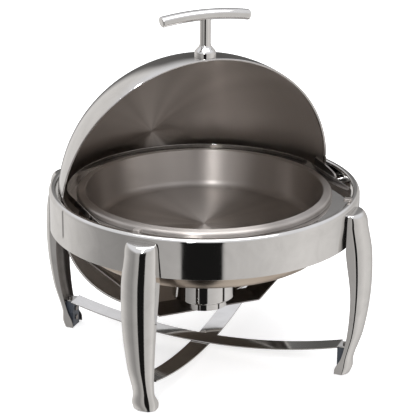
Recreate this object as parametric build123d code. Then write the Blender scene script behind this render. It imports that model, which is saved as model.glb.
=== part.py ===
from build123d import *
from math import cos, hypot, pi, radians, sin, sqrt
import os

# Round roll-top chafing dish. Millimetres, +Z up, front towards -Y, origin on the floor
# under the centre. The lid is modelled rolled open, at its stop.

# Ring that carries everything
RING_R = 242.0            # outside radius
RING_TOP = 279.5
RING_BOTTOM = 218.0
RING_SHEET = 2.0
SHOULDER_R = 6.0
LIP_R = 231.0             # inside edge of the top lip
LIP_DROP = 5.0
LIP_BEND = 2.5
RING_INSIDE = RING_R - RING_SHEET
GROOVE_ANGLE = 84.2       # round from the front, to both sides
GROOVE_LENGTH = 39.0
GROOVE_WIDTH = 5.0
GROOVE_DEPTH = 0.9
GROOVE_MIDDLE_Z = 252.5
HOLE_FROM, HOLE_TO = 230.0, 250.0      # holes through the ring run between these radii

# Lid: a dome a little shallower than a hemisphere, turning about the X axis
PIVOT_Z = 256.0
DOME_R = 228.4            # outside radius, centred on the pivot axis
DOME_SHEET = 1.2
RIM_OFFSET = 28.0         # rim plane above the pivot axis when closed
HEM_WIDTH = 5.0
HEM_SHEET = 1.55
LID_OPEN = 78.7           # degrees from closed to the stop
EAR_WIDTH = 30.0
EAR_SHEET = 3.0
EAR_TOP = 52.0

# Hinge hardware, along X
PIN_R = 4.0
PIN_RUNNING = 0.06        # radial clearance in the ears
BOSS_R = 8.0
BOSS_INNER = 227.6
CAP_R = 7.0
CAP_INNER = 219.5
CAP_OUTER = 223.6
STOP_R = 3.0
STOP_REACH = 20.0         # stop pin's distance from the axis along the open lid's ear

# Handle, standing straight up on the open lid
BAR_HALF_LENGTH = 72.0
BAR_RISE = 6.0
BAR_MIDDLE_Z = 549.0
BAR_WIDE = 20.0
BAR_HIGH = 16.0
STEM_R = 8.5
FLARE_R = 16.5
FLARE_TOP = 505.0
FLARE_WALL = 6.0          # upright part at the flare's foot
BOLT_R = 3.0

# Food pan and water pan
SHEET = 1.2
PAN_RIM_R = 199.0
PAN_MOUTH_R = 184.5
PAN_FLOOR_R = 175.0
PAN_FLOOR_Z = 214.0
PAN_TOP = 275.5
PAN_CORNER = 13.0
FLANGE_Z = 264.0          # underside of the water pan's flange
BOWL_R = 196.0
BOWL_FLOOR_Z = 180.0
BOWL_CORNER = 18.0
WALL_TOP = 276.0          # top of the flange's raised edge
FLANGE_BACK_R = 214.0
FLANGE_FLAT_X = 207.0     # flats at both sides give the lid's ears room
FLANGE_FRONT_R = 229.0
FLANGE_FRONT_Y = -50.0

# Fuel shelf and fuel holder
SHELF_Z = 80.0            # top face
SHELF_HALF = 86.0
SHELF_WIDTH = 50.0
SHELF_SHEET = 2.0
SHELF_END_X = sqrt(RING_INSIDE**2 - (SHELF_WIDTH / 2)**2) - 0.2
SHELF_END_Z = 224.0
SHELF_TAB_TOP = 237.0
RIVET_SPREAD = 15.0       # rivets stand this far to both sides of the middle
RIVET_DROP = 6.0
RIVET_R = 3.0
RIVET_HEAD_R = 4.2
HOLDER_BASE_R = 39.0
HOLDER_BASE_TOP = 94.0
HOLDER_R = 51.0
HOLDER_TOP = 146.0
HOLDER_SHEET = 1.5
FLAME_R = 22.0
DAMPER_R = 25.0
DAMPER_PIVOT_X = 34.0
DAMPER_ARM_HALF = 4.0
DAMPER_SHEET = 1.2

# Legs: stations from floor to top, as height, outer face, inner edge, half width and how far
# the oval front reaches beyond the straight sides
LEG_STATIONS = [
    (1.5, 246.5, 231.5, 16.4, 9.0),
    (12.0, 250.5, 231.5, 17.4, 10.5),
    (29.0, 249.8, 237.5, 14.6, 9.0),
    (75.0, 261.5, 247.0, 18.3, 12.0),
    (140.0, 270.0, 250.5, 24.0, 16.0),
    (205.0, 270.0, 241.0, 26.0, 18.0),
    (250.0, 262.0, 236.0, 24.8, 17.0),
    (266.0, 251.5, 236.0, 20.5, 8.0),
]
LEG_SHEET = 1.6
LEG_ANGLES = {"front_left": -135, "front_right": -45, "rear_left": 135, "rear_right": 45}
FOOT_HALF = 11.0
FOOT_INNER = 228.3
FOOT_OUTER = 243.5
FOOT_SCREWS_Z = (14.0, 30.0)
BRACKET_HALF = 14.0
BRACKET_BOTTOM = 226.0
BRACKET_TOP = 255.0
BRACKET_OUTER = 252.0
LEG_SCREW_R = 3.0
LEG_SCREW_HEAD_R = 5.0
LEG_SCREWS_Z = (BRACKET_BOTTOM + 8, BRACKET_TOP - 8)

# Cross straps under the lid's sweep
STRAP_WIDTH = 32.0
STRAP_SHEET = 2.0
STRAP_END_Z = 46.0        # middle of the sheet at the feet
STRAP_FLAT_FROM = 228.0
STRAP_END = 244.5
UPPER_STRAP_LOW_Z = 16.2
LOWER_STRAP_LOW_Z = 13.9
STRAP_SCREW_R = 2.4
STRAP_SCREW_AT = 238.5
STRAP_SCREW_HEAD_R = 4.2
STRAP_SCREW_LENGTH = 18.0
FOOT_SCREW_R = 2.0
FOOT_SCREW_HEAD_R = 4.0
FOOT_SCREW_LENGTH = 5.0

CLEAR = 0.1               # gap left where separate pieces sit against each other
BUMPER_ANGLES = {"left": -138, "right": -42}
SIDES = {"left": -1, "right": 1}

parts = {}


def polar(radius, angle, z=0.0):
    return (radius * cos(radians(angle)), radius * sin(radians(angle)), z)


def side_step(first, second, gap):
    """The offset to the right of the line from first to second."""
    dx, dz = second[0] - first[0], second[1] - first[1]
    length = hypot(dx, dz)
    return dz / length * gap, -dx / length * gap


def parallel(points, gap):
    """The mitred line that runs beside points, on their right."""
    steps = [side_step(a, b, gap) for a, b in zip(points, points[1:])]
    line = [(points[0][0] + steps[0][0], points[0][1] + steps[0][1])]
    for (x, z), before, after in zip(points[1:-1], steps, steps[1:]):
        turn = 1 + (before[0] * after[0] + before[1] * after[1]) / gap**2
        line.append((x + (before[0] + after[0]) / turn, z + (before[1] + after[1]) / turn))
    line.append((points[-1][0] + steps[-1][0], points[-1][1] + steps[-1][1]))
    return line


def turn_signs(points):
    """Plus one where the line turns left, minus one where it turns right."""
    signs = []
    for a, b, c in zip(points, points[1:], points[2:]):
        cross = (b[0] - a[0]) * (c[1] - b[1]) - (b[1] - a[1]) * (c[0] - b[0])
        signs.append(1 if cross > 0 else -1)
    return signs


def sheet_section(points, bends, thickness):
    """A bent sheet's section in the XZ plane: its left face through points."""
    other = parallel(points, thickness)
    other_bends = [r + s * thickness for r, s in zip(bends, turn_signs(points))]
    face = [(x, 0, z) for x, z in points]
    back = [(x, 0, z) for x, z in other]
    outline = FilletPolyline(*face, radius=bends) + Line(face[-1], back[-1])
    outline += FilletPolyline(*back, radius=other_bends) + Line(back[0], face[0])
    return make_face(outline)


def spun(points, bends, thickness):
    return revolve(sheet_section(points, bends, thickness), Axis.Z)


def rod_z(radius, low, high, x=0.0, y=0.0):
    return Pos(x, y, low) * Cylinder(radius, high - low, align=(Align.CENTER, Align.CENTER, Align.MIN))


def rod_x(radius, near, far, y, z, side):
    """A rod along X on one side of the object, from |x| = near to far."""
    rod = Cylinder(radius, far - near, align=(Align.CENTER, Align.CENTER, Align.MIN))
    return Pos(side * near, y, z) * Rot(0, 90 * side, 0) * rod


def rod_out(radius, near, far, tangent, z, angle):
    """A rod along a leg's radial direction."""
    rod = Cylinder(radius, far - near, align=(Align.CENTER, Align.CENTER, Align.MIN))
    return Rot(0, 0, angle) * Pos(near, tangent, z) * Rot(0, 90, 0) * rod


def block(low, high):
    size = [b - a for a, b in zip(low, high)]
    return Pos(*low) * Box(*size, align=(Align.MIN, Align.MIN, Align.MIN))


def opened(shape):
    """Turns a piece of the closed lid to the open stop."""
    return Pos(0, 0, PIVOT_Z) * Rot(-LID_OPEN, 0, 0) * shape


def stop_place():
    """Where the stop pin touches the open ear, as y and z."""
    down = EAR_WIDTH / 2 + STOP_R + CLEAR
    tilt = radians(LID_OPEN)
    y = STOP_REACH * sin(tilt) + down * cos(tilt)
    return y, PIVOT_Z + STOP_REACH * cos(tilt) - down * sin(tilt)


def ring_band():
    profile = [(RING_R, RING_BOTTOM), (RING_R, RING_TOP), (LIP_R, RING_TOP), (LIP_R, RING_TOP - LIP_DROP)]
    # The section lists its left face, so it runs from the lip's edge to the foot of the wall.
    ring = spun(profile[::-1], [LIP_BEND, SHOULDER_R], RING_SHEET)
    stop_y, stop_z = stop_place()
    for side in SIDES.values():
        ring -= rod_x(PIN_R + CLEAR, HOLE_FROM, HOLE_TO, 0, PIVOT_Z, side)
        ring -= rod_x(STOP_R + CLEAR, HOLE_FROM, HOLE_TO, stop_y, stop_z, side)
        for y in (-RIVET_SPREAD, RIVET_SPREAD):
            ring -= rod_x(RIVET_R, HOLE_FROM, HOLE_TO, y, SHELF_TAB_TOP - RIVET_DROP, side)
        ring -= Rot(0, 0, -90 + side * GROOVE_ANGLE) * ring_groove()
    for angle in LEG_ANGLES.values():
        for z in LEG_SCREWS_Z:
            ring -= rod_out(LEG_SCREW_R + CLEAR, HOLE_FROM, HOLE_TO, 0, z, angle)
    return ring


def ring_groove():
    """The upright groove pressed into the ring, as what it takes away."""
    slot = extrude(SlotOverall(GROOVE_LENGTH, GROOVE_WIDTH), 6)
    return Pos(RING_R - GROOVE_DEPTH, 0, GROOVE_MIDDLE_Z) * Rot(0, 90, 0) * slot


def leg_section(height, outer, inner, half, nose):
    shoulder = outer - nose
    front = EllipticalCenterArc((shoulder, 0), nose, half, start_angle=-90, arc_size=180)
    sides = Polyline((shoulder, half), (inner, half), (inner, -half), (shoulder, -half))
    return Pos(0, 0, height) * make_face(front + sides)


def leg():
    shell = loft([leg_section(*station) for station in LEG_STATIONS])
    hollow = []
    drops = [1.0] + [0.0] * (len(LEG_STATIONS) - 2) + [LEG_SHEET]
    for drop, (height, outer, inner, half, nose) in zip(drops, LEG_STATIONS):
        inside = (outer - LEG_SHEET, inner - 20, half - LEG_SHEET, nose - LEG_SHEET)
        hollow.append(leg_section(height - drop, *inside))
    shell -= loft(hollow)
    return shell - rod_z(RING_R + CLEAR, RING_BOTTOM - 1, RING_TOP + 2)


def foot():
    solid = block((FOOT_INNER, -FOOT_HALF, 0), (FOOT_OUTER, FOOT_HALF, STRAP_END_Z - STRAP_SHEET / 2 - CLEAR))
    solid = fillet(solid.edges().filter_by(Axis.Z).sort_by(Axis.X)[-2:], 4)
    solid -= rod_z(STRAP_SCREW_R + CLEAR, 25, 60, STRAP_SCREW_AT)
    for z in FOOT_SCREWS_Z:
        solid -= rod_out(FOOT_SCREW_R + CLEAR, FOOT_INNER - 1, FOOT_INNER + FOOT_SCREW_LENGTH + 1, 0, z, 0)
    return solid


def bracket():
    solid = block((RING_R - 4, -BRACKET_HALF, BRACKET_BOTTOM), (BRACKET_OUTER, BRACKET_HALF, BRACKET_TOP))
    solid -= rod_z(RING_R + CLEAR, BRACKET_BOTTOM - 1, BRACKET_TOP + 1)
    for z in LEG_SCREWS_Z:
        solid -= rod_out(LEG_SCREW_R, RING_R - 4, BRACKET_OUTER - 1, 0, z, 0)
    return solid


def leg_screws(angle):
    """Two screws from inside the ring into the bracket."""
    screws = []
    for z in LEG_SCREWS_Z:
        shank = rod_out(LEG_SCREW_R - 0.05, RING_INSIDE - 1, BRACKET_OUTER - 2, 0, z, angle)
        screws.append(shank + rod_out(LEG_SCREW_HEAD_R, RING_INSIDE - 3.4, RING_INSIDE - 0.4, 0, z, angle))
    return screws


def foot_screws(angle):
    return [rod_out(FOOT_SCREW_R, FOOT_INNER, FOOT_INNER + FOOT_SCREW_LENGTH, 0, z, angle)
            + rod_out(FOOT_SCREW_HEAD_R, FOOT_INNER - 1.8, FOOT_INNER, 0, z, angle) for z in FOOT_SCREWS_Z]


def strap(low_z, angle):
    """A strap that sags between two feet, in the vertical plane at the given angle."""
    half = STRAP_SHEET / 2

    def line(shift):
        end_z, mid_z = STRAP_END_Z + shift, low_z + shift
        left = Line((-STRAP_END, 0, end_z), (-STRAP_FLAT_FROM, 0, end_z))
        sag = ThreePointArc((-STRAP_FLAT_FROM, 0, end_z), (0, 0, mid_z), (STRAP_FLAT_FROM, 0, end_z))
        right = Line((STRAP_FLAT_FROM, 0, end_z), (STRAP_END, 0, end_z))
        return left + sag + right

    outline = line(half) + line(-half)
    for x in (-STRAP_END, STRAP_END):
        outline += Line((x, 0, STRAP_END_Z - half), (x, 0, STRAP_END_Z + half))
    body = extrude(make_face(outline), STRAP_WIDTH / 2, both=True)
    end_cut = block((STRAP_FLAT_FROM + 2, FOOT_HALF, 0), (260, 40, 70))
    end_cut += block((STRAP_FLAT_FROM + 2, -40, 0), (260, -FOOT_HALF, 70))
    for turn in (0, 180):
        body -= Rot(0, 0, turn) * end_cut
        body -= Rot(0, 0, turn) * rod_z(STRAP_SCREW_R + CLEAR, 30, 60, STRAP_SCREW_AT)
    return Rot(0, 0, angle) * body


def strap_screw(angle):
    top = STRAP_END_Z + STRAP_SHEET / 2
    x, y, _ = polar(STRAP_SCREW_AT, angle)
    head = rod_z(STRAP_SCREW_HEAD_R, top, top + 2.4, x, y)
    return head + rod_z(STRAP_SCREW_R, top - STRAP_SCREW_LENGTH, top, x, y)


def flange_plan(inset):
    sides = Rectangle(2 * (FLANGE_FLAT_X - inset), 600)
    rear = Circle(FLANGE_BACK_R - inset) & sides
    front_keep = Pos(0, FLANGE_FRONT_Y - inset - 150) * Rectangle(600, 300)
    return rear + (Circle(FLANGE_FRONT_R - inset) & front_keep & sides)


def water_pan():
    wall = [(0, BOWL_FLOOR_Z), (BOWL_R, BOWL_FLOOR_Z), (BOWL_R, FLANGE_Z + SHEET)]
    bowl = spun(wall[::-1], [BOWL_CORNER], SHEET)
    flange = extrude(Pos(0, 0, FLANGE_Z) * (flange_plan(0) - Circle(BOWL_R - SHEET)), SHEET)
    edge = extrude(Pos(0, 0, FLANGE_Z) * (flange_plan(0) - flange_plan(SHEET)), WALL_TOP - FLANGE_Z)
    return bowl + flange + edge


def food_pan():
    floor = PAN_FLOOR_Z
    inside = [(0, floor), (PAN_FLOOR_R, floor), (PAN_MOUTH_R, PAN_TOP), (PAN_RIM_R, PAN_TOP - 2),
              (PAN_RIM_R, FLANGE_Z + SHEET + 0.3)]
    return spun(inside, [PAN_CORNER, 2.0, 5.0], SHEET)


def fuel_shelf():
    """A strip bent down from both sides of the ring to a flat seat for the burner."""
    face = SHELF_END_X - SHELF_SHEET
    half = [(SHELF_HALF, SHELF_Z), (face, SHELF_END_Z), (face, SHELF_TAB_TOP)]
    points = [(-x, z) for x, z in half[::-1]] + half
    section = sheet_section(points, [2.0, 3.0, 3.0, 2.0], SHELF_SHEET)
    body = extrude(section, SHELF_WIDTH / 2, both=True)
    for side in SIDES.values():
        for y in (-RIVET_SPREAD, RIVET_SPREAD):
            body -= rod_x(RIVET_R, HOLE_FROM, HOLE_TO, y, SHELF_TAB_TOP - RIVET_DROP, side)
    return body


def shelf_rivets(side):
    rivets = []
    z, face = SHELF_TAB_TOP - RIVET_DROP, SHELF_END_X - SHELF_SHEET
    far = sqrt(RING_R**2 - (RIVET_SPREAD + RIVET_R)**2) - 0.2
    for y in (-RIVET_SPREAD, RIVET_SPREAD):
        shank = rod_x(RIVET_R - 0.05, face, far, y, z, side)
        rivets.append(shank + rod_x(RIVET_HEAD_R, face - 1.5, face, y, z, side))
    return rivets


def hinge_pin(side):
    """A shoulder pin with its boss, from inside the ear out to the ring."""
    boss = rod_x(BOSS_R, BOSS_INNER, RING_INSIDE + 1, 0, PIVOT_Z, side)
    boss &= rod_z(RING_INSIDE - CLEAR, PIVOT_Z - 20, PIVOT_Z + 20)
    return boss + rod_x(PIN_R, CAP_INNER + 1, RING_R - 0.3, 0, PIVOT_Z, side)


def hinge_cap(side):
    cap = rod_x(CAP_R, CAP_INNER, CAP_OUTER, 0, PIVOT_Z, side)
    cap = fillet(cap.edges().filter_by(GeomType.CIRCLE).sort_by(Axis.X)[0 if side > 0 else -1], 1.5)
    return cap - rod_x(PIN_R, CAP_INNER + 1, CAP_OUTER + 1, 0, PIVOT_Z, side)


def stop_pin(side):
    y, z = stop_place()
    pin = rod_x(STOP_R, CAP_INNER + 4, RING_R + 1, y, z, side)
    return pin & rod_z(RING_R - 0.3, z - 20, z + 20)


def bumper(angle):
    """A tab on the lip that the closed lid's rim rests on."""
    top = PIVOT_Z + RIM_OFFSET - 0.3
    tab = block((LIP_R - 7, -5.5, RING_TOP + CLEAR), (LIP_R + 5, 5.5, top))
    tab = fillet(tab.edges().filter_by(Axis.Z), 2.5)
    tab = fillet(tab.faces().sort_by(Axis.Z)[-1].edges(), 0.8)
    return Rot(0, 0, angle) * tab


def cap_of(outer, inner, low, high):
    """Part of a spherical shell between two heights."""
    return (Sphere(outer) - Sphere(inner)) & rod_z(outer + 5, low, high)


def lid_dome():
    dome = cap_of(DOME_R, DOME_R - DOME_SHEET, RIM_OFFSET, DOME_R + 5)
    return opened(dome) - rod_z(BOLT_R + 0.2, PIVOT_Z + 200, PIVOT_Z + 240)


def ear_blank(side):
    half = EAR_WIDTH / 2
    tongue = rod_x(half, 150, 260, 0, 0, side)
    x_low, x_high = sorted((150 * side, 260 * side))
    return tongue + block((x_low, -half, 0), (x_high, half, EAR_TOP))


def lid_hem():
    outer = DOME_R - DOME_SHEET - 0.05
    hem = cap_of(outer, outer - HEM_SHEET, RIM_OFFSET, RIM_OFFSET + HEM_WIDTH)
    for side in SIDES.values():
        x_low, x_high = sorted((150 * side, 260 * side))
        hem -= block((x_low, -EAR_WIDTH / 2 - 0.3, 0), (x_high, EAR_WIDTH / 2 + 0.3, 60))
    return opened(hem)


def lid_ear(side):
    outer = DOME_R - DOME_SHEET - CLEAR
    ear = ear_blank(side) & (Sphere(outer) - Sphere(outer - EAR_SHEET))
    ear -= rod_x(PIN_R + PIN_RUNNING, 200, 260, 0, 0, side)
    return opened(ear)


def handle_flare():
    low, high = PIVOT_Z + DOME_R - 8, FLARE_TOP
    edge_z = PIVOT_Z + sqrt(DOME_R**2 - FLARE_R**2) + FLARE_WALL
    bore = BOLT_R + 0.2
    wall = Polyline((bore, 0, high), (bore, 0, low), (FLARE_R, 0, low), (FLARE_R, 0, edge_z))
    curve = Bezier((FLARE_R, 0, edge_z), (FLARE_R, 0, edge_z + 6), (STEM_R, 0, high - 7), (STEM_R, 0, high))
    flare = revolve(make_face(wall + curve + Line((STEM_R, 0, high), (bore, 0, high))), Axis.Z)
    return flare - Pos(0, 0, PIVOT_Z) * Sphere(DOME_R + 0.05)


def handle_bar():
    """An oval bar bent to a slight arch over the stem."""
    bend = (BAR_HALF_LENGTH**2 + BAR_RISE**2) / (2 * BAR_RISE)
    spread = 2 * BAR_HALF_LENGTH / bend * 180 / pi
    centre = BAR_MIDDLE_Z - bend
    oval = Plane.YZ * Pos(0, BAR_MIDDLE_Z) * Ellipse(BAR_WIDE / 2, BAR_HIGH / 2)
    axis = Axis((0, 0, centre), (0, 1, 0))
    bar = revolve(oval.rotate(axis, -spread / 2), axis, spread)
    return fillet(bar.edges(), 2.5)


def handle_stem(bar):
    stem = rod_z(STEM_R, FLARE_TOP + 0.05, BAR_MIDDLE_Z)
    return stem - bar - rod_z(BOLT_R + 0.05, FLARE_TOP - 1, FLARE_TOP + 16)


def handle_bolt():
    inside = PIVOT_Z + sqrt((DOME_R - DOME_SHEET)**2 - 9**2) - 0.1
    washer = rod_z(9, inside - 1.5, inside)
    head = extrude(Pos(0, 0, inside - 5.5) * RegularPolygon(5.8, 6), 4)
    return washer + head + rod_z(BOLT_R, inside - 1, FLARE_TOP + 15)


def holder_base():
    low = SHELF_Z + CLEAR
    line = [(HOLDER_BASE_R - 7, HOLDER_BASE_TOP), (HOLDER_BASE_R, HOLDER_BASE_TOP), (HOLDER_BASE_R, low)]
    return spun(line, [3.0], HOLDER_SHEET)


def holder_cup():
    floor = HOLDER_BASE_TOP + CLEAR
    outside = [(HOLDER_R, HOLDER_TOP), (HOLDER_R, floor), (0, floor)]
    return spun(outside, [4.0], HOLDER_SHEET)


def holder_cover():
    low = HOLDER_TOP + CLEAR
    cover = rod_z(HOLDER_R, low, low + 1.5)
    cover += rod_z(HOLDER_R - HOLDER_SHEET - 0.2, low - 5, low) - rod_z(HOLDER_R - 3.4, low - 5, low)
    return cover - rod_z(FLAME_R, low - 1, low + 5) - rod_z(2.0, low - 1, low + 5, DAMPER_PIVOT_X)


def damper():
    low = HOLDER_TOP + 1.9
    high = low + DAMPER_SHEET
    plate = rod_z(DAMPER_R, low, high) + rod_z(DAMPER_ARM_HALF + 1, low, high, DAMPER_PIVOT_X)
    plate += block((18, -DAMPER_ARM_HALF, low), (DAMPER_PIVOT_X, DAMPER_ARM_HALF, high))
    plate += block((-HOLDER_R - 12, -DAMPER_ARM_HALF, low), (-20, DAMPER_ARM_HALF, high))
    return plate - rod_z(2.05, low - 1, low + 3, DAMPER_PIVOT_X)


def damper_knob():
    low = HOLDER_TOP + 3.2
    return fillet(rod_z(4, low, low + 7, -HOLDER_R - 7).edges().sort_by(Axis.Z)[-1], 1.5)


def damper_rivet():
    low = HOLDER_TOP - 1.5
    rivet = rod_z(1.99, low, HOLDER_TOP + 3.3, DAMPER_PIVOT_X)
    rivet += rod_z(3.6, HOLDER_TOP + 3.2, HOLDER_TOP + 4.4, DAMPER_PIVOT_X)
    return rivet


def make_legs():
    for name, angle in LEG_ANGLES.items():
        turn = Rot(0, 0, angle)
        parts["leg_" + name] = turn * leg()
        parts["foot_block_" + name] = turn * foot()
        parts["leg_bracket_" + name] = turn * bracket()
    angles = list(LEG_ANGLES.values())
    parts["leg_screws"] = Compound([s for a in angles for s in leg_screws(a)])
    parts["foot_screws"] = Compound([s for a in angles for s in foot_screws(a)])
    parts["strap_screws"] = Compound([strap_screw(a) for a in angles])
    parts["cross_strap_upper"] = strap(UPPER_STRAP_LOW_Z, -45)
    parts["cross_strap_lower"] = strap(LOWER_STRAP_LOW_Z, 45)


def make_frame():
    parts["ring_band"] = ring_band()
    parts["water_pan"] = water_pan()
    parts["fuel_shelf"] = fuel_shelf()
    parts["shelf_rivets"] = Compound([r for side in SIDES.values() for r in shelf_rivets(side)])
    for name, side in SIDES.items():
        parts["hinge_pin_" + name] = hinge_pin(side)
        parts["hinge_cap_" + name] = hinge_cap(side)
        parts["stop_pin_" + name] = stop_pin(side)
        parts["lid_bumper_" + name] = bumper(BUMPER_ANGLES[name])


def make_lid():
    parts["lid_dome"] = lid_dome()
    parts["lid_hem"] = lid_hem()
    for name, side in SIDES.items():
        parts["lid_ear_" + name] = lid_ear(side)
    parts["handle_flare"] = handle_flare()
    parts["handle_bar"] = handle_bar()
    parts["handle_stem"] = handle_stem(parts["handle_bar"])
    parts["handle_bolt"] = handle_bolt()


def make_burner():
    parts["holder_base"] = holder_base()
    parts["holder_cup"] = holder_cup()
    parts["holder_cover"] = holder_cover()
    parts["damper_plate"] = damper()
    parts["damper_knob"] = damper_knob()
    parts["damper_rivet"] = damper_rivet()


make_frame()
make_legs()
make_lid()
make_burner()
parts["food_pan"] = food_pan()

os.makedirs("parts", exist_ok=True)
for name, shape in parts.items():
    export_step(shape, "parts/" + name + ".step")
print(len(parts), "nodes written")
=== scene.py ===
from math import asin, ceil, cos, hypot, pi, radians, sin, sqrt, tan

import bmesh
import bpy
from mathutils import Matrix, Vector


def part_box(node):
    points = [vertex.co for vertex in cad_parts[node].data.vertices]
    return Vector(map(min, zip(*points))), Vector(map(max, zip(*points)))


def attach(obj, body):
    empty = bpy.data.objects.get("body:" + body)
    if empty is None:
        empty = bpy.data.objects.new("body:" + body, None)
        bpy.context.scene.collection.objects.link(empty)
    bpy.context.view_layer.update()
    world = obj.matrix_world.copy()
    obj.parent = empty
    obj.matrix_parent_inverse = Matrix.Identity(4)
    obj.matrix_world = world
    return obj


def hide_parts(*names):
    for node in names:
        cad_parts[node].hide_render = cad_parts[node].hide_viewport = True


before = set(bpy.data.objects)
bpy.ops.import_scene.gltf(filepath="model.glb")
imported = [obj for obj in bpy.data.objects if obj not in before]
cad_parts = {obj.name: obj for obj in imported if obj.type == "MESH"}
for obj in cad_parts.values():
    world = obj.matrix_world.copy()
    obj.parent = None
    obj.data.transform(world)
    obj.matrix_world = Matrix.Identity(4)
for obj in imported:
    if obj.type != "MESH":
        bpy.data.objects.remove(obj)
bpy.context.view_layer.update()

# Round roll-top chafing dish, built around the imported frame. Shapes are worked out in
# millimetres in the frame's own axes, and scaled to metres when their mesh is made.
MM = 0.001

ARC_STEP = radians(7)      # finest turn between two points of a rounded corner
TURNS = 240                # points round a spun piece
EDGE = 0.5                 # rounding of a sheet's cut edge


def span(node):
    low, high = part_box(node)
    return low / MM, high / MM


# Sizes read from the frame
RING_LOW, RING_HIGH = span("ring_band")
RING_R = round(RING_HIGH.y, 1)
RING_TOP = round(RING_HIGH.z, 1)
RING_BOTTOM = round(RING_LOW.z, 1)
PIVOT_Z = round(sum(corner.z for corner in span("hinge_pin_left")) / 2, 1)
BOWL_FLOOR_Z = round(span("water_pan")[0].z, 1)
WALL_TOP = round(span("water_pan")[1].z, 1)
SHELF_TOP = round(span("holder_base")[0].z, 1)

# Ring
RING_SHEET = 2.0
SHOULDER_R = 6.0
LIP_R = 231.0
LIP_DROP = 5.0
LIP_BEND = 2.5
GROOVE_ANGLES = (-174.2, -5.8)
GROOVE_HALF_WIDTH = 3.4
GROOVE_DEPTH = 1.6
GROOVE_MIDDLE_Z = 255.0
GROOVE_STRAIGHT = 19.5     # half the length of the groove's straight part

# Lid
LID_OPEN = 78.7
DOME_R = 228.4
DOME_SHEET = 1.2
RIM_OFFSET = 28.0
HEM_WIDTH = 5.0
HEM_SHEET = 1.5
DOME_RINGS = 90
EAR_HALF = 15.6            # the hem stops this far from the middle of each ear

# Pans
SHEET = 1.2
PAN_RIM_R = 199.0
PAN_TOP = 275.5
PAN_FLOOR_Z = 214.0
PAN_MOUTH_R = 184.5
PAN_FLOOR_R = 175.0
PAN_CORNER = 13.0
FLANGE_Z = 264.0
BOWL_R = 196.0
BOWL_CORNER = 18.0
FLANGE_BACK_R = 214.0
FLANGE_FLAT_X = 207.0
FLANGE_FRONT_R = 229.0
FLANGE_FRONT_Y = -50.0
FLANGE_EASE = 6.0
FLANGE_CORNER = 2.0        # rounds the flats' corners

# Handle
BAR_HALF_LENGTH = 72.0
BAR_RISE = 6.0
BAR_MIDDLE_Z = 549.0
BAR_WIDE = 20.0
BAR_HIGH = 16.0
BAR_STEPS = 48
BAR_AROUND = 64
BAR_POWER = 2.3            # 2 is an ellipse, more is squarer
BAR_END_R = 2.5
STEM_R = 8.5
FLARE_R = 16.5
FLARE_TOP = 505.0
FLARE_WALL = 6.0           # upright part at the flare's foot
FLARE_STEPS = 24

# Fuel holder
HOLDER_BASE_R = 39.0
HOLDER_BASE_TOP = 94.0
HOLDER_R = 51.0
HOLDER_TOP = 146.0
HOLDER_SHEET = 1.5
FLAME_R = 22.0

# Legs: stations from floor to top, as height, outer face, inner edge, half width and how far
# the oval front reaches beyond the straight sides
LEG_STATIONS = [
    (1.5, 246.5, 226.0, 17.8, 9.0),
    (12.0, 250.5, 227.5, 18.8, 10.5),
    (29.0, 251.5, 236.5, 16.2, 9.5),
    (75.0, 265.5, 246.0, 20.4, 13.0),
    (140.0, 274.5, 249.5, 25.4, 17.0),
    (205.0, 274.0, 241.0, 27.0, 19.0),
    (250.0, 265.5, 236.0, 25.2, 18.0),
]
LEG_TOP = (268.5, 254.0, 21.5, 9.0)     # height, outer face, half width and nose of the closed top
LEG_SHEET = 1.6
LEG_FRONT_POWER = 1.7      # 2 is an ellipse, less comes to a soft ridge
LEG_INSIDE_BELOW = 0.95    # the outer face is at 1 of the front's curve, the inner face at less
LEG_SIDE_STEPS = 8
LEG_FRONT_STEPS = 32
LEG_ANGLES = {"front_left": -135, "front_right": -45, "rear_left": 135, "rear_right": 45}
LEG_LEVELS = 70
LEG_TOP_LEVELS = 10

# Cross straps
STRAP_HALF = 16.0
STRAP_END_HALF = 11.0
STRAP_SHEET = 2.0
STRAP_END_Z = 46.0
STRAP_FLAT_FROM = 228.0
STRAP_END = 244.4
STRAPS = {"upper": (16.2, -45), "lower": (13.9, 45)}

# Studio. The walls' brightness goes by degrees round from the front, to the left and right.
FRONT_ANGLE = -113.4
WARM = (1.0, 0.975, 0.95)
WALLS = [(-180, 0.10), (-168, 0.15), (-160, 0.80), (-120, 0.82), (-82, 0.42), (-60, 0.34), (-28, 0.52),
         (-17, 0.56), (-15.5, 0.012), (13, 0.012), (14.5, 0.66), (40, 0.72), (75, 0.90), (110, 0.80),
         (125, 0.64), (160, 0.60), (168, 0.15), (180, 0.10)]
CEILING = [(0.0, 0.5), (0.6, 0.75), (0.8, (0.95, 0.96, 1.0)), (1.0, (1.0, 1.0, 1.0))]
WALL_TOP_LIFT = 0.25       # sine of the height where the walls start to turn to ceiling
CEILING_LIFT = 0.55
FLOOR_GLOW = 0.55          # keeps the shadow on the floor faint
FLOOR_HALF = 9.0           # metres
STRIP_ANGLE = -122.6       # a narrow upright light to the left of the camera
STRIP_LIFT = 35
STRIP_FAR = 2.5
CAMERA_PLACE = (-0.9303, -2.1501, 1.1032)
CAMERA_AIM = (0.0083, -0.0036, 0.2362)
CAMERA_LENS = 136.47
CAMERA_ROLL = 0.42


# Outlines ------------------------------------------------------------------

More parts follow.
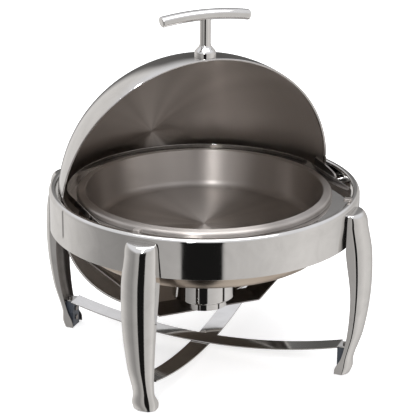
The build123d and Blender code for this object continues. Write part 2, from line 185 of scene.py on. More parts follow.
def corner_arc(before, corner, after, radius):
    """The points of the arc that rounds one corner of an outline."""
    corner = Vector(corner)
    back, on = (Vector(before) - corner).normalized(), (Vector(after) - corner).normalized()
    half = back.angle(on) / 2
    if radius <= 0 or half > pi / 2 - 0.01:
        return [tuple(corner)]
    centre = corner + (back + on).normalized() * radius / sin(half)
    start = corner + back * radius / tan(half) - centre
    sweep = pi - 2 * half
    if back.x * on.y - back.y * on.x > 0:
        sweep = -sweep
    steps = max(2, ceil(abs(sweep) / ARC_STEP))
    points = []
    for i in range(steps + 1):
        turned = Matrix.Rotation(sweep * i / steps, 2) @ start
        points.append(tuple(centre + turned))
    return points


def rounded(points, radii, closed=True):
    """An outline with its corners rounded. The ends of an open one stay sharp."""
    line = []
    count = len(points)
    for i, (point, radius) in enumerate(zip(points, radii)):
        if not closed and i in (0, count - 1):
            line.append(tuple(point))
        else:
            line += corner_arc(points[i - 1], point, points[(i + 1) % count], radius)
    return line


def side_step(first, second, gap):
    dx, dz = second[0] - first[0], second[1] - first[1]
    length = hypot(dx, dz)
    return dz / length * gap, -dx / length * gap


def parallel(points, gap):
    """The mitred line that runs beside points, on their right."""
    steps = [side_step(a, b, gap) for a, b in zip(points, points[1:])]
    line = [(points[0][0] + steps[0][0], points[0][1] + steps[0][1])]
    for (x, z), before, after in zip(points[1:-1], steps, steps[1:]):
        turn = 1 + (before[0] * after[0] + before[1] * after[1]) / gap**2
        line.append((x + (before[0] + after[0]) / turn, z + (before[1] + after[1]) / turn))
    line.append((points[-1][0] + steps[-1][0], points[-1][1] + steps[-1][1]))
    return line


def turn_signs(points):
    signs = []
    for a, b, c in zip(points, points[1:], points[2:]):
        cross = (b[0] - a[0]) * (c[1] - b[1]) - (b[1] - a[1]) * (c[0] - b[0])
        signs.append(1 if cross > 0 else -1)
    return signs


def sheet_outline(points, bends, thickness, edges=(EDGE, EDGE)):
    """Both faces of a bent sheet. An end on the axis has no edge, so its rounding is 0."""
    back = parallel(points, thickness)
    back_bends = [r + s * thickness for r, s in zip(bends, turn_signs(points))]
    first, last = edges
    radii = [first, *bends, last, last, *back_bends[::-1], first]
    return rounded(points + back[::-1], radii, closed=first > 0)


def squared(wave, power):
    """A sine or cosine bent so that it draws a squarer oval, or with less than 2 a leaner one."""
    return (1 if wave > 0 else -1) * abs(wave) ** (2 / power)


def divided(points, longest):
    """The same line with its long straight runs cut into shorter ones."""
    line = []
    for a, b in zip(points, points[1:] + points[:1]):
        steps = max(1, ceil(hypot(b[0] - a[0], b[1] - a[1]) / longest))
        line += [(a[0] + (b[0] - a[0]) * i / steps, a[1] + (b[1] - a[1]) * i / steps) for i in range(steps)]
    return line


def arc_points(radius, start, end, steps):
    """Points (r, z) on a circle about the pivot, from one angle above level to another."""
    angles = [start + (end - start) * i / steps for i in range(steps + 1)]
    return [(radius * cos(a), radius * sin(a)) for a in angles]


# Meshes --------------------------------------------------------------------

def piece(name, points, faces, materials, body, replaced, turn=None, chosen=None, sharp=32):
    """Makes one object from points in millimetres, smooth but for its sharp edges.
    chosen says which of the materials a face has, from the face's middle in millimetres."""
    mesh = bpy.data.meshes.new(name)
    mesh.from_pydata([Vector(p) * MM for p in points], [], faces)
    shaped = bmesh.new()
    shaped.from_mesh(mesh)
    bmesh.ops.remove_doubles(shaped, verts=shaped.verts, dist=1e-7)
    bmesh.ops.recalc_face_normals(shaped, faces=shaped.faces)
    shaped.to_mesh(mesh)
    shaped.free()
    mesh.shade_smooth()
    mesh.set_sharp_from_angle(angle=radians(sharp))
    for material in materials:
        mesh.materials.append(material)
    if chosen is not None:
        for face in mesh.polygons:
            face.material_index = chosen(face.center / MM)
    if turn is not None:
        mesh.transform(turn)
    made = bpy.data.objects.new(name, mesh)
    bpy.context.scene.collection.objects.link(made)
    weighted = made.modifiers.new("weighted_normals", "WEIGHTED_NORMAL")
    weighted.keep_sharp = True
    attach(made, body)
    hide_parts(*replaced)
    return made


def even_turn(count=TURNS):
    return [2 * pi * i / count for i in range(count)]


def spun(outline, angles=None, closed=True, full=True):
    """Points and faces of an outline turned about Z. An open outline starts and ends on the axis."""
    return spun_by(lambda angle: outline, angles or even_turn(), closed, full)


def spun_by(outline_at, angles, closed=True, full=True):
    """The same for an outline that changes with the angle."""
    outlines = [outline_at(angle) for angle in angles]
    points, rows = [], []
    for k, (r, z) in enumerate(outlines[0]):
        if r < 1e-6:
            rows.append([len(points)] * len(angles))
            points.append((0, 0, z))
        else:
            rows.append(list(range(len(points), len(points) + len(angles))))
            points += [(line[k][0] * cos(a), line[k][0] * sin(a), line[k][1])
                       for a, line in zip(angles, outlines)]
    faces = []
    pairs = list(zip(rows, rows[1:])) + ([(rows[-1], rows[0])] if closed else [])
    last = len(angles) if full else len(angles) - 1
    for low, high in pairs:
        for i in range(last):
            j = (i + 1) % len(angles)
            corners = [low[i], low[j], high[j], high[i]]
            faces.append(list(dict.fromkeys(corners)))
    if not full:
        faces.append([row[0] for row in rows])
        faces.append([row[-1] for row in rows])
    return points, faces


def lofted(loops, cap_ends=True):
    """Points and faces of closed loops joined one to the next."""
    count = len(loops[0])
    points = [p for loop in loops for p in loop]
    faces = []
    for k in range(len(loops) - 1):
        for i in range(count):
            j = (i + 1) % count
            faces.append([k * count + i, k * count + j, (k + 1) * count + j, (k + 1) * count + i])
    if cap_ends:
        faces.append(list(range(count)))
        faces.append(list(range((len(loops) - 1) * count, len(loops) * count)))
    return points, faces


def curve_through(stations, z):
    """Every value of the stations at height z, on a smooth curve through them."""
    heights = [s[0] for s in stations]
    k = max(i for i in range(len(stations) - 1) if heights[i] <= z or i == 0)
    low, high = stations[k], stations[k + 1]
    gap = high[0] - low[0]
    t = (z - low[0]) / gap

    def slope(i, value):
        a, b = stations[max(i - 1, 0)], stations[min(i + 1, len(stations) - 1)]
        return (b[value] - a[value]) / (b[0] - a[0])

    values = []
    for value in range(1, len(low)):
        start, end = low[value], high[value]
        rise, fall = slope(k, value) * gap, slope(k + 1, value) * gap
        bend = (2 * start - 2 * end + rise + fall) * t**3
        values.append(bend + (3 * end - 3 * start - 2 * rise - fall) * t**2 + rise * t + start)
    return values


# Materials -----------------------------------------------------------------

class Surface:
    """A metal or plastic surface, made of one shader and the noise that varies it."""

    def __init__(self, name, colour, roughness, metallic=1.0):
        self.material = bpy.data.materials.new(name)
        self.material.use_nodes = True
        self.nodes = self.material.node_tree.nodes
        self.links = self.material.node_tree.links
        self.shader = self.nodes["Principled BSDF"]
        self.shader.inputs["Metallic"].default_value = metallic
        self.colour, self.roughness = colour, roughness
        self.place = self.nodes.new("ShaderNodeTexCoord").outputs["Object"]
        self.whole_place, self.centre, self.axis = self.place, Vector(), Vector((0, 0, 1))

    def spun_before(self, turn):
        """Puts the surface's lines round the axis that a piece had before it was turned."""
        back = turn.inverted()
        mapping = self.nodes.new("ShaderNodeMapping")
        mapping.inputs["Location"].default_value = back.translation
        mapping.inputs["Rotation"].default_value = back.to_euler()
        self.links.new(self.place, mapping.inputs["Vector"])
        self.place = mapping.outputs["Vector"]
        self.centre, self.axis = turn.translation, turn.to_3x3() @ self.axis

    def noise(self, scale, stretch=(1, 1, 1), detail=3.0, warp=0.0):
        """Noise of so many features to the metre, stretched along the axes."""
        mapping = self.nodes.new("ShaderNodeMapping")
        mapping.inputs["Scale"].default_value = [scale / s for s in stretch]
        texture = self.nodes.new("ShaderNodeTexNoise")
        texture.inputs["Scale"].default_value = 1.0
        texture.inputs["Detail"].default_value = detail
        texture.inputs["Distortion"].default_value = warp
        self.links.new(self.place, mapping.inputs["Vector"])
        self.links.new(mapping.outputs["Vector"], texture.inputs["Vector"])
        return texture.outputs["Fac"]

    def about_axis(self, scale, around, along):
        """Fine lines that run round the Z axis, as turning and spinning leave them."""
        parts = self.nodes.new("ShaderNodeSeparateXYZ")
        self.links.new(self.place, parts.inputs["Vector"])
        x, y = parts.outputs["X"], parts.outputs["Y"]
        radius = self.math("SQRT", self.math("ADD", self.math("MULTIPLY", x, x), self.math("MULTIPLY", y, y)))
        angle = self.math("ARCTAN2", y, x)
        joined = self.nodes.new("ShaderNodeCombineXYZ")
        self.links.new(self.math("MULTIPLY", radius, scale), joined.inputs["X"])
        self.links.new(self.math("MULTIPLY", angle, around), joined.inputs["Y"])
        self.links.new(self.math("MULTIPLY", parts.outputs["Z"], along), joined.inputs["Z"])
        texture = self.nodes.new("ShaderNodeTexNoise")
        texture.inputs["Scale"].default_value = 1.0
        texture.inputs["Detail"].default_value = 2.0
        self.links.new(joined.outputs["Vector"], texture.inputs["Vector"])
        return texture.outputs["Fac"]

    def polish_and_painted_streak_sectors(self, scale):
        """Broad soft sectors about the Z axis: partly polishing sectors, partly painted reflection streaks of
        the kind a spun surface shows.
        """
        flat = self.nodes.new("ShaderNodeVectorMath")
        flat.operation = "MULTIPLY"
        flat.inputs[1].default_value = (1, 1, 0)
        outward = self.nodes.new("ShaderNodeVectorMath")
        outward.operation = "NORMALIZE"
        texture = self.nodes.new("ShaderNodeTexNoise")
        texture.inputs["Scale"].default_value = scale
        texture.inputs["Detail"].default_value = 1.0
        self.links.new(self.place, flat.inputs[0])
        self.links.new(flat.outputs["Vector"], outward.inputs[0])
        self.links.new(outward.outputs["Vector"], texture.inputs["Vector"])
        return texture.outputs["Fac"]

    def math(self, operation, first, second=None):
        node = self.nodes.new("ShaderNodeMath")
        node.operation = operation
        for socket, value in zip(node.inputs, (first, second)):
            if isinstance(value, bpy.types.NodeSocket):
                self.links.new(value, socket)
            elif value is not None:
                socket.default_value = value
        return node.outputs["Value"]

    def between(self, factor, low, high, start=0.3, end=0.7):
        node = self.nodes.new("ShaderNodeMapRange")
        node.inputs["From Min"].default_value = start
        node.inputs["From Max"].default_value = end
        node.inputs["To Min"].default_value = low
        node.inputs["To Max"].default_value = high
        self.links.new(factor, node.inputs["Value"])
        return node.outputs["Result"]

    def tint(self, factor, second, start=0.3, end=0.7):
        """Colour that wanders between the surface's own and a second one."""
        mix = self.nodes.new("ShaderNodeMix")
        mix.data_type = "RGBA"
        mix.inputs[6].default_value = (*self.colour, 1)
        mix.inputs[7].default_value = (*second, 1)
        self.links.new(self.between(factor, 0, 1, start, end), mix.inputs[0])
        self.links.new(mix.outputs[2], self.shader.inputs["Base Color"])

    def rough(self, *parts):
        """Roughness: the base value plus each (factor, amount)."""
        total = self.roughness
        for factor, amount in parts:
            total = self.math("ADD", self.between(factor, 0, amount), total)
        self.links.new(total, self.shader.inputs["Roughness"])

    def bump(self, factor, height, strength=1.0):
        node = self.nodes.new("ShaderNodeBump")
        node.inputs["Strength"].default_value = strength
        node.inputs["Distance"].default_value = height * MM
        self.links.new(factor, node.inputs["Height"])
        self.links.new(node.outputs["Normal"], self.shader.inputs["Normal"])

    def brushed(self, amount):
        """Highlights that stretch across the fine lines that run round the axis."""
        outward = self.nodes.new("ShaderNodeVectorMath")
        outward.operation = "SUBTRACT"
        outward.inputs[1].default_value = self.centre
        sideways = self.nodes.new("ShaderNodeVectorMath")
        sideways.operation = "CROSS_PRODUCT"
        sideways.inputs[0].default_value = self.axis
        placed = self.nodes.new("ShaderNodeVectorTransform")
        placed.vector_type, placed.convert_from, placed.convert_to = "VECTOR", "OBJECT", "WORLD"
        self.links.new(self.whole_place, outward.inputs[0])
        self.links.new(outward.outputs["Vector"], sideways.inputs[1])
        self.links.new(sideways.outputs["Vector"], placed.inputs["Vector"])
        self.shader.inputs["Anisotropic"].default_value = amount
        self.shader.inputs["Anisotropic Rotation"].default_value = 0.25
        self.links.new(placed.outputs["Vector"], self.shader.inputs["Tangent"])


def polished_steel():
    surface = Surface("polished_steel", (0.70, 0.69, 0.68), 0.035)
    smudges = surface.noise(22, detail=5, warp=1.5)
    wipes = surface.noise(260, stretch=(1, 1, 14), detail=2)
    surface.tint(smudges, (0.64, 0.63, 0.62))
    surface.rough((smudges, 0.05), (wipes, 0.02))
    surface.bump(surface.noise(9, detail=1), 0.05)
    return surface.material


def spun_steel(name, colour, second, roughness, turn=None):
    """Satin steel with fine rings left by the spinning lathe, and broad sectors of colour round the axis that
    are partly polishing marks and partly painted reflection streaks.
    """
    surface = Surface(name, colour, roughness)
    if turn is not None:
        surface.spun_before(turn)
    rings = surface.about_axis(900, 3, 500)
    clouds = surface.noise(14, detail=4, warp=0.8)
    # painted reflection streaks, partly polishing sectors: the colour wanders towards the darker second one
    # in broad sectors round the axis
    polish_and_painted_streaks = surface.polish_and_painted_streak_sectors(2.2)
    surface.tint(polish_and_painted_streaks, second, 0.38, 0.62)
    surface.rough((rings, 0.08), (clouds, 0.05))
    surface.bump(rings, 0.02)
    surface.brushed(0.9)
    return surface.material


def dark_steel():
    surface = Surface("dark_steel", (0.30, 0.28, 0.27), 0.26)
    grain = surface.noise(1500, stretch=(30, 1, 1), detail=2)
    clouds = surface.noise(30, detail=4)
    surface.tint(clouds, (0.22, 0.205, 0.195))
    surface.rough((grain, 0.12), (clouds, 0.08))
    surface.bump(grain, 0.02)
    return surface.material


def plastic():
    surface = Surface("foot_plastic", (0.035, 0.042, 0.055), 0.38, metallic=0.0)
    speckle = surface.noise(1800, detail=2)
    clouds = surface.noise(60, detail=3)
    surface.tint(clouds, (0.055, 0.065, 0.085))
    surface.rough((speckle, 0.15))
    surface.bump(speckle, 0.05)
    return surface.material


def lid_turn():
    """Places a piece of the closed lid, built about the pivot, at the open stop."""
    return Matrix.Translation((0, 0, PIVOT_Z * MM)) @ Matrix.Rotation(radians(-LID_OPEN), 4, "X")


CHROME = polished_steel()
# Each spun steel's second colour is the darker tone of its sectors: partly polishing, partly painted
# reflection streaks.
SATIN = spun_steel("satin_steel", (0.56, 0.525, 0.50), (0.43, 0.40, 0.38), 0.33)
LID_SATIN = spun_steel("lid_inside_steel", (0.57, 0.525, 0.49), (0.48, 0.44, 0.41), 0.36, lid_turn())
BOWL_SATIN = spun_steel("bowl_steel", (0.60, 0.52, 0.44), (0.50, 0.42, 0.35), 0.24)
DARK = dark_steel()
PLASTIC = plastic()


# Frame pieces --------------------------------------------------------------

def groove_depth(across, z):
    """How far the pressed groove sinks at a place on the ring's wall."""
    off = hypot(across, max(0, abs(z - GROOVE_MIDDLE_Z) - GROOVE_STRAIGHT))
    share = max(0.0, 1 - off / GROOVE_HALF_WIDTH)
    return GROOVE_DEPTH * share * share * (3 - 2 * share)


def outside_ring(r, z):
    """Whether a point of the ring's section is on its outer face."""
    centre_r, centre_z = RING_R - SHOULDER_R, RING_TOP - SHOULDER_R
    if z < centre_z:
        return r > RING_R - RING_SHEET / 2
    return r > centre_r and hypot(r - centre_r, z - centre_z) > SHOULDER_R - RING_SHEET / 2


def ring_band():
    lip_low = RING_TOP - LIP_DROP
    profile = [(LIP_R, lip_low), (LIP_R, RING_TOP), (RING_R, RING_TOP), (RING_R, RING_BOTTOM)]
    outline = divided(sheet_outline(profile, [LIP_BEND, SHOULDER_R], RING_SHEET), 2.0)
    fine = radians(0.12)
    angles = even_turn()
    for middle in GROOVE_ANGLES:
        angles += [radians(middle % 360) + fine * i for i in range(-8, 9)]
    angles = sorted(set(round(a, 6) for a in angles))
    points, faces = spun(outline, angles)
    pressed = []
    for x, y, z in points:
        r = hypot(x, y)
        sink = 0
        if outside_ring(r, z):
            for middle in GROOVE_ANGLES:
                mx, my = cos(radians(middle)), sin(radians(middle))
                if x * mx + y * my > 0:
                    sink = max(sink, groove_depth(y * mx - x * my, z))
        pressed.append((x * (1 - sink / r), y * (1 - sink / r), z))
    piece("ring_band_shell", pressed, faces, [CHROME], "frame", ["ring_band"])


def leg_side(outer, inner, half, nose):
    """One face of the leg's channel at one height, from edge to edge, as (out, across)."""
    shoulder = outer - nose
    side = [(inner + (shoulder - inner) * i / LEG_SIDE_STEPS, -half) for i in range(LEG_SIDE_STEPS)]
    turns = [pi * (i / LEG_FRONT_STEPS - 0.5) for i in range(LEG_FRONT_STEPS + 1)]
    front = [(shoulder + nose * squared(cos(a), LEG_FRONT_POWER), half * squared(sin(a), LEG_FRONT_POWER))
             for a in turns]
    return side + front + [(x, -y) for x, y in side[::-1]]


def leg_loop(z, outer, inner, half, nose, closing=0.0):
    """A closed loop round the channel: out along its outside, back along its inside.
    closing moves both faces from the leg's outline to the ring's wall."""
    wall = RING_R + 0.15

    def face(shrink, height):
        line = []
        for x, y in leg_side(outer - shrink, inner, half - shrink, nose - shrink):
            if z > RING_BOTTOM - 2:
                x = max(x, sqrt(wall**2 - y**2))
            x += (sqrt(wall**2 - y**2) - x) * closing
            line.append((x, y, height))
        return line

    low = z - LEG_SHEET if z > LEG_STATIONS[-1][0] else z
    return face(0, z) + face(LEG_SHEET, low)[::-1]


def leg_inside(place, angle):
    """Whether a place in millimetres is on the inner face of the leg's channel."""
    if place.z > LEG_STATIONS[-1][0]:
        return False
    out, across, z = Matrix.Rotation(radians(-angle), 3, "Z") @ place
    outer, _, half, nose = curve_through(LEG_STATIONS, z)
    beyond = max(out - (outer - nose), 0) / nose
    return beyond**LEG_FRONT_POWER + (abs(across) / half)**LEG_FRONT_POWER < LEG_INSIDE_BELOW


def leg(name, angle):
    bottom, shoulder = LEG_STATIONS[0][0], LEG_STATIONS[-1][0]
    loops = []
    for i in range(LEG_LEVELS + 1):
        z = bottom + (shoulder - bottom) * i / LEG_LEVELS
        loops.append(leg_loop(z, *curve_through(LEG_STATIONS, z)))
    top_z, top_outer, top_half, top_nose = LEG_TOP
    _, outer, inner, half, nose = LEG_STATIONS[-1]
    for i in range(1, LEG_TOP_LEVELS + 1):
        turn = pi / 2 * i / LEG_TOP_LEVELS
        z = shoulder + (top_z - shoulder) * sin(turn)
        sink = 1 - cos(turn)
        loops.append(leg_loop(z, outer - (outer - top_outer) * sink, inner,
                              half - (half - top_half) * sink, nose - (nose - top_nose) * sink))
    for closing in (0.25, 0.5, 0.75, 1.0):
        loops.append(leg_loop(top_z, top_outer, inner, top_half, top_nose, closing))
    points, faces = lofted(loops, cap_ends=False)
    count, last = len(loops[0]), len(points) - len(loops[0])
    for i in range(count // 2 - 1):
        j = count - 1 - i
        faces.append([i, i + 1, j - 1, j])
        faces.append([last + i, last + i + 1, last + j - 1, last + j])
    turned = Matrix.Rotation(radians(angle), 3, "Z")
    points = [tuple(turned @ Vector(p)) for p in points]
    piece(f"leg_{name}_shell", points, faces, [CHROME, DARK], "frame", [f"leg_{name}"],
          chosen=lambda middle: int(leg_inside(middle, angle)))


def strap_path(low_z):
    """The strap's middle line as (out, z, half width)."""
    rise = STRAP_END_Z - low_z
    bend = (STRAP_FLAT_FROM**2 + rise**2) / (2 * rise)
    steps = 60
    path = []
    for i in range(steps + 1):
        x = STRAP_FLAT_FROM * (2 * i / steps - 1)
        path.append((x, low_z + bend - sqrt(bend**2 - x**2), STRAP_HALF))
    path[0] = (path[0][0], path[0][1], STRAP_HALF)
    ends = [(STRAP_FLAT_FROM + 1.5, STRAP_HALF), (STRAP_FLAT_FROM + 2.2, STRAP_END_HALF),
            (STRAP_END, STRAP_END_HALF)]
    right = [(x, STRAP_END_Z, half) for x, half in ends]
    left = [(-x, z, half) for x, z, half in right[::-1]]
    return left + path + right


def strap(name, low_z, angle):
    path = strap_path(low_z)
    loops = []
    for i, (x, z, half) in enumerate(path):
        ahead, behind = path[min(i + 1, len(path) - 1)], path[max(i - 1, 0)]
        along = Vector((ahead[0] - behind[0], 0, ahead[1] - behind[1])).normalized()
        up = Vector((-along.z, 0, along.x))
        thick = STRAP_SHEET / 2
        flat = [(-half, -thick), (half, -thick), (half, thick), (-half, thick)]
        section = rounded(flat, [0.7] * 4)
        middle = Vector((x, 0, z))
        loops.append([middle + Vector((0, across, 0)) + up * rise for across, rise in section])
    points, faces = lofted(loops)
    turned = Matrix.Rotation(radians(angle), 3, "Z")
    points = [tuple(turned @ Vector(p)) for p in points]
    piece(f"cross_strap_{name}_bar", points, faces, [CHROME], "frame",
          [f"cross_strap_{name}"])


def eased(value, low, high):
    """Runs smoothly from 0 at low to 1 at high."""
    share = min(1.0, max(0.0, (value - low) / (high - low)))
    return share * share * (3 - 2 * share)


def flange_radius(angle):
    """The edge of the water pan's flange: flat beside the ears, wider in front of them."""
    forward = -sin(angle) * FLANGE_FRONT_R
    widening = eased(forward, -FLANGE_FRONT_Y - FLANGE_EASE, -FLANGE_FRONT_Y + FLANGE_EASE)
    edge = FLANGE_BACK_R + (FLANGE_FRONT_R - FLANGE_BACK_R) * widening
    flat = FLANGE_FLAT_X / max(abs(cos(angle)), 0.1)
    return (edge + flat - hypot(edge - flat, FLANGE_CORNER)) / 2


def water_pan():
    def outline(angle):
        edge = flange_radius(angle)
        line = [(edge, WALL_TOP), (edge, FLANGE_Z), (BOWL_R, FLANGE_Z), (BOWL_R, BOWL_FLOOR_Z),
                (0, BOWL_FLOOR_Z)]
        return sheet_outline(line, [1.5, 3.0, BOWL_CORNER], SHEET, edges=(0.5, 0))

    def finish(middle):
        r, z = hypot(middle.x, middle.y), middle.z
        bottom = z < BOWL_FLOOR_Z + SHEET / 2 or (z < FLANGE_Z and r > BOWL_R - SHEET / 2)
        corner_r, corner_z = BOWL_R - BOWL_CORNER, BOWL_FLOOR_Z + BOWL_CORNER
        if r > corner_r and z < corner_z:
            bottom = hypot(r - corner_r, z - corner_z) > BOWL_CORNER - SHEET / 2
        if bottom:
            return 2
        return 1 if r < BOWL_R - SHEET / 2 and z < FLANGE_Z else 0

    points, faces = spun_by(outline, even_turn(360))
    piece("water_pan_shell", points, faces, [CHROME, SATIN, BOWL_SATIN], "frame",
          ["water_pan"], chosen=finish)


# Food pan ------------------------------------------------------------------

def food_pan():
    inside = [(0, PAN_FLOOR_Z), (PAN_FLOOR_R, PAN_FLOOR_Z), (PAN_MOUTH_R, PAN_TOP), (PAN_RIM_R, PAN_TOP - 2),
              (PAN_RIM_R, FLANGE_Z + SHEET + 0.3)]
    outline = sheet_outline(inside, [PAN_CORNER, 2.0, 5.0], SHEET, edges=(0, 0.5))
    points, faces = spun(outline, closed=False)
    piece("food_pan_shell", points, faces, [SATIN], "food_pan", ["food_pan"])


# Lid -----------------------------------------------------------------------

def lid_dome():
    outer_from, inner_from = asin(RIM_OFFSET / DOME_R), asin(RIM_OFFSET / (DOME_R - DOME_SHEET))
    outside = arc_points(DOME_R, pi / 2, outer_from, DOME_RINGS)
    rim = arc_points(DOME_R - DOME_SHEET / 2, outer_from - 0.0022, outer_from - 0.0022, 1)[:1]
    within = arc_points(DOME_R - DOME_SHEET, inner_from, pi / 2, DOME_RINGS)
    outside[0], within[-1] = (0, DOME_R), (0, DOME_R - DOME_SHEET)
    points, faces = spun(outside + rim + within, closed=False)
    piece("lid_dome_shell", points, faces, [CHROME, LID_SATIN], "lid", ["lid_dome"],
          turn=lid_turn(), chosen=lambda middle: int(middle.length < DOME_R - DOME_SHEET * 0.7))


def lid_hem():
    outer = DOME_R - DOME_SHEET - 0.05
    inner = outer - HEM_SHEET
    corners = [(sqrt(r * r - z * z), z) for r, z in (
        (outer, RIM_OFFSET), (outer, RIM_OFFSET + HEM_WIDTH), (inner, RIM_OFFSET + HEM_WIDTH),
        (inner, RIM_OFFSET))]
    outline = rounded(corners, [0.1, 0.1, 0.6, 0.6])
    gap = asin(EAR_HALF / inner)
    points, faces = [], []
    for start in (gap, pi + gap):
        sweep = pi - 2 * gap
        angles = [start + sweep * i / (TURNS // 2) for i in range(TURNS // 2 + 1)]
        new_points, new_faces = spun(outline, angles, full=False)
        faces += [[i + len(points) for i in face] for face in new_faces]
        points += new_points
    piece("lid_hem_strip", points, faces, [CHROME], "lid", ["lid_hem"], turn=lid_turn())


def handle_flare():
    foot = PIVOT_Z + sqrt(DOME_R**2 - FLARE_R**2) + 0.05
    start, end = Vector((FLARE_R, foot + FLARE_WALL)), Vector((STEM_R, FLARE_TOP))
    pull = Vector((0, 1))
    curve = []
    for i in range(FLARE_STEPS + 1):
        t = i / FLARE_STEPS
        a, d = start * (1 - t) ** 3, end * t**3
        b, c = (start + pull * 6) * 3 * t * (1 - t) ** 2, (end - pull * 7) * 3 * t * t * (1 - t)
        curve.append(tuple(a + b + c + d))
    outline = [(0, foot + 0.7), (FLARE_R - 0.8, foot), (FLARE_R, foot + 0.8), *curve, (0, FLARE_TOP)]
    points, faces = spun(outline, even_turn(96), closed=False)
    piece("handle_flare_body", points, faces, [CHROME], "lid", ["handle_flare"])


def handle_stem():
    low, high = FLARE_TOP + 0.05, BAR_MIDDLE_Z - 3
    outline = [(0, low), (STEM_R, low), (STEM_R, high), (0, high)]
    points, faces = spun(outline, even_turn(96), closed=False)
    piece("handle_stem_rod", points, faces, [CHROME], "lid", ["handle_stem"])


def handle_bar():
    """An oval bar bent to a slight arch, with rounded ends."""
    bend = (BAR_HALF_LENGTH**2 + BAR_RISE**2) / (2 * BAR_RISE)
    half_turn = asin(BAR_HALF_LENGTH / bend)
    places = [(-1 + 2 * i / BAR_STEPS, 1.0) for i in range(BAR_STEPS + 1)]
    end = BAR_END_R / BAR_HALF_LENGTH
    rounding = [(1 - end * (1 - sin(a)), cos(a)) for a in (radians(d) for d in range(0, 91, 10))]
    places = [p for p in places if abs(p[0]) < 1 - end]
    inset = BAR_END_R / (BAR_HIGH / 2)
    right = [(place, 1 - inset * (1 - full)) for place, full in rounding]
    places = [(-place, size) for place, size in right[::-1]] + places + right
    loops = []
    for place, size in places:
        a = place * half_turn
        out = Vector((sin(a), 0, cos(a)))
        middle = Vector((0, 0, BAR_MIDDLE_Z - bend)) + out * bend
        loops.append([middle + out * z * size + Vector((0, y * size, 0)) for y, z in bar_section()])
    points, faces = lofted(loops)
    piece("handle_bar_grip", points, faces, [CHROME], "lid", ["handle_bar"])


def bar_section():
    """A squared oval, as (across, up)."""
    turns = [2 * pi * i / BAR_AROUND for i in range(BAR_AROUND)]
    return [(BAR_WIDE / 2 * squared(cos(a), BAR_POWER), BAR_HIGH / 2 * squared(sin(a), BAR_POWER))
            for a in turns]


# Fuel holder ---------------------------------------------------------------

def fuel_holder():
    base_line = [(HOLDER_BASE_R - 7, HOLDER_BASE_TOP), (HOLDER_BASE_R, HOLDER_BASE_TOP),
                 (HOLDER_BASE_R, SHELF_TOP)]
    points, faces = spun(sheet_outline(base_line, [3.0], HOLDER_SHEET), even_turn(128))
    piece("holder_base_ring", points, faces, [CHROME], "fuel_holder", ["holder_base"])
    floor = HOLDER_BASE_TOP + 0.1
    cup_line = [(HOLDER_R, HOLDER_TOP), (HOLDER_R, floor), (0, floor)]
    points, faces = spun(sheet_outline(cup_line, [4.0], HOLDER_SHEET, edges=(0.6, 0)), even_turn(128))
    piece("holder_cup_body", points, faces, [CHROME], "fuel_holder", ["holder_cup"])
    low = HOLDER_TOP + 0.1
    lid_line = [(FLAME_R, low), (FLAME_R, low + 1.5), (HOLDER_R, low + 1.5), (HOLDER_R, low),
                (HOLDER_R - 1.7, low), (HOLDER_R - 1.7, low - 5), (HOLDER_R - 3.4, low - 5),
                (HOLDER_R - 3.4, low)]
    points, faces = spun(rounded(lid_line, [0.5, 0.5, 0.6, 0.3, 0.1, 0.3, 0.3, 0.1]), even_turn(128))
    piece("holder_cover_disc", points, faces, [CHROME], "fuel_holder", ["holder_cover"])


# Studio --------------------------------------------------------------------

def studio_world():
    """Pale soft light all round, dimmer to the sides, with one dark gap in front."""
    world = bpy.data.worlds.new("studio")
    bpy.context.scene.world = world
    world.use_nodes = True
    nodes, links = world.node_tree.nodes, world.node_tree.links
    background = nodes["Background"]

    def math(operation, first, second=None):
        node = nodes.new("ShaderNodeMath")
        node.operation = operation
        for socket, value in zip(node.inputs, (first, second)):
            if isinstance(value, bpy.types.NodeSocket):
                links.new(value, socket)
            elif value is not None:
                socket.default_value = value
        return node.outputs["Value"]

    def ramp(factor, stops):
        node = nodes.new("ShaderNodeValToRGB")
        elements = node.color_ramp.elements
        while len(elements) < len(stops):
            elements.new(0.5)
        for element, (place, level) in zip(elements, stops):
            element.position = place
            element.color = (*[level * c for c in WARM], 1) if isinstance(level, float) else (*level, 1)
        links.new(factor, node.inputs["Fac"])
        return node.outputs["Color"]

    parts = nodes.new("ShaderNodeSeparateXYZ")
    links.new(nodes.new("ShaderNodeTexCoord").outputs["Generated"], parts.inputs["Vector"])
    facing = radians(FRONT_ANGLE)
    x, y = parts.outputs["X"], parts.outputs["Y"]
    forward = math("ADD", math("MULTIPLY", x, cos(facing)), math("MULTIPLY", y, sin(facing)))
    sideways = math("ADD", math("MULTIPLY", x, -sin(facing)), math("MULTIPLY", y, cos(facing)))
    turn = math("ADD", math("DIVIDE", math("ARCTAN2", sideways, forward), 2 * pi), 0.5)
    around = ramp(turn, [(0.5 + degrees_off / 360, level) for degrees_off, level in WALLS])
    lift = math("ADD", math("MULTIPLY", parts.outputs["Z"], 0.5), 0.5)
    upper = ramp(lift, CEILING)
    share = nodes.new("ShaderNodeMapRange")
    share.interpolation_type = "SMOOTHSTEP"
    share.inputs["From Min"].default_value = WALL_TOP_LIFT
    share.inputs["From Max"].default_value = CEILING_LIFT
    links.new(parts.outputs["Z"], share.inputs["Value"])
    mix = nodes.new("ShaderNodeMix")
    mix.data_type = "RGBA"
    links.new(share.outputs["Result"], mix.inputs[0])
    links.new(around, mix.inputs[6])
    links.new(upper, mix.inputs[7])
    links.new(mix.outputs[2], background.inputs["Color"])
    background.inputs["Strength"].default_value = 1.0


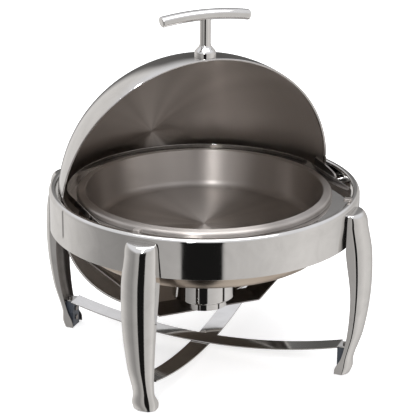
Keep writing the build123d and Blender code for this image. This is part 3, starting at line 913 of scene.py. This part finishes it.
def floor():
    mesh = bpy.data.meshes.new("floor")
    half = FLOOR_HALF
    corners = [(-half, -half, 0), (half, -half, 0), (half, half, 0), (-half, half, 0)]
    mesh.from_pydata(corners, [], [(0, 1, 2, 3)])
    made = bpy.data.objects.new("floor", mesh)
    bpy.context.scene.collection.objects.link(made)
    material = bpy.data.materials.new("pale_floor")
    material.use_nodes = True
    shader = material.node_tree.nodes["Principled BSDF"]
    shader.inputs["Base Color"].default_value = (0.93, 0.93, 0.935, 1)
    shader.inputs["Roughness"].default_value = 0.9
    shader.inputs["Emission Color"].default_value = (1.0, 1.0, 1.0, 1)
    shader.inputs["Emission Strength"].default_value = FLOOR_GLOW
    mesh.materials.append(material)
    made.visible_glossy = False


def soft_box(name, place, aim, width, height, power, colour=(1, 1, 1)):
    light = bpy.data.lights.new(name, "AREA")
    light.shape = "RECTANGLE"
    light.size, light.size_y = width, height
    light.energy = power
    light.color = colour
    made = bpy.data.objects.new(name, light)
    made.location = place
    made.rotation_euler = (Vector(aim) - Vector(place)).to_track_quat("-Z", "Y").to_euler()
    bpy.context.scene.collection.objects.link(made)


def camera():
    data = bpy.data.cameras.new("camera")
    data.lens = CAMERA_LENS
    made = bpy.data.objects.new("camera", data)
    place, aim = Vector(CAMERA_PLACE), Vector(CAMERA_AIM)
    look = (aim - place).to_track_quat("-Z", "Y").to_matrix().to_4x4()
    made.matrix_world = Matrix.Translation(place) @ look @ Matrix.Rotation(radians(CAMERA_ROLL), 4, "Z")
    bpy.context.scene.collection.objects.link(made)
    bpy.context.scene.camera = made


def finish_cad_nodes():
    """Gives every CAD node that still shows its own steel or plastic."""
    finishes = {"hinge_pin": CHROME, "hinge_cap": CHROME, "stop_pin": CHROME, "handle_bolt": CHROME,
                "damper_plate": CHROME, "damper_knob": PLASTIC, "foot_block": PLASTIC, "lid_bumper": SATIN}
    for name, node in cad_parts.items():
        if node.hide_render:
            continue
        material = next((m for start, m in finishes.items() if name.startswith(start)), DARK)
        node.data.materials.clear()
        node.data.materials.append(material)


ring_band()
water_pan()
food_pan()
for leg_name, leg_angle in LEG_ANGLES.items():
    leg(leg_name, leg_angle)
for strap_name, (strap_low, strap_angle) in STRAPS.items():
    strap(strap_name, strap_low, strap_angle)
lid_dome()
lid_hem()
handle_flare()
handle_stem()
handle_bar()
fuel_holder()
finish_cad_nodes()
studio_world()
floor()
soft_box("overhead", (0.0, -0.2, 2.4), (0, 0, 0.2), 2.2, 1.6, 30)
strip_reach = STRIP_FAR * cos(radians(STRIP_LIFT))
strip_place = (strip_reach * cos(radians(STRIP_ANGLE)), strip_reach * sin(radians(STRIP_ANGLE)),
               0.25 + STRIP_FAR * sin(radians(STRIP_LIFT)))
soft_box("strip", strip_place, (0, 0, 0.25), 0.12, 1.0, 12)
camera()
bpy.context.scene.view_settings.view_transform = "Standard"
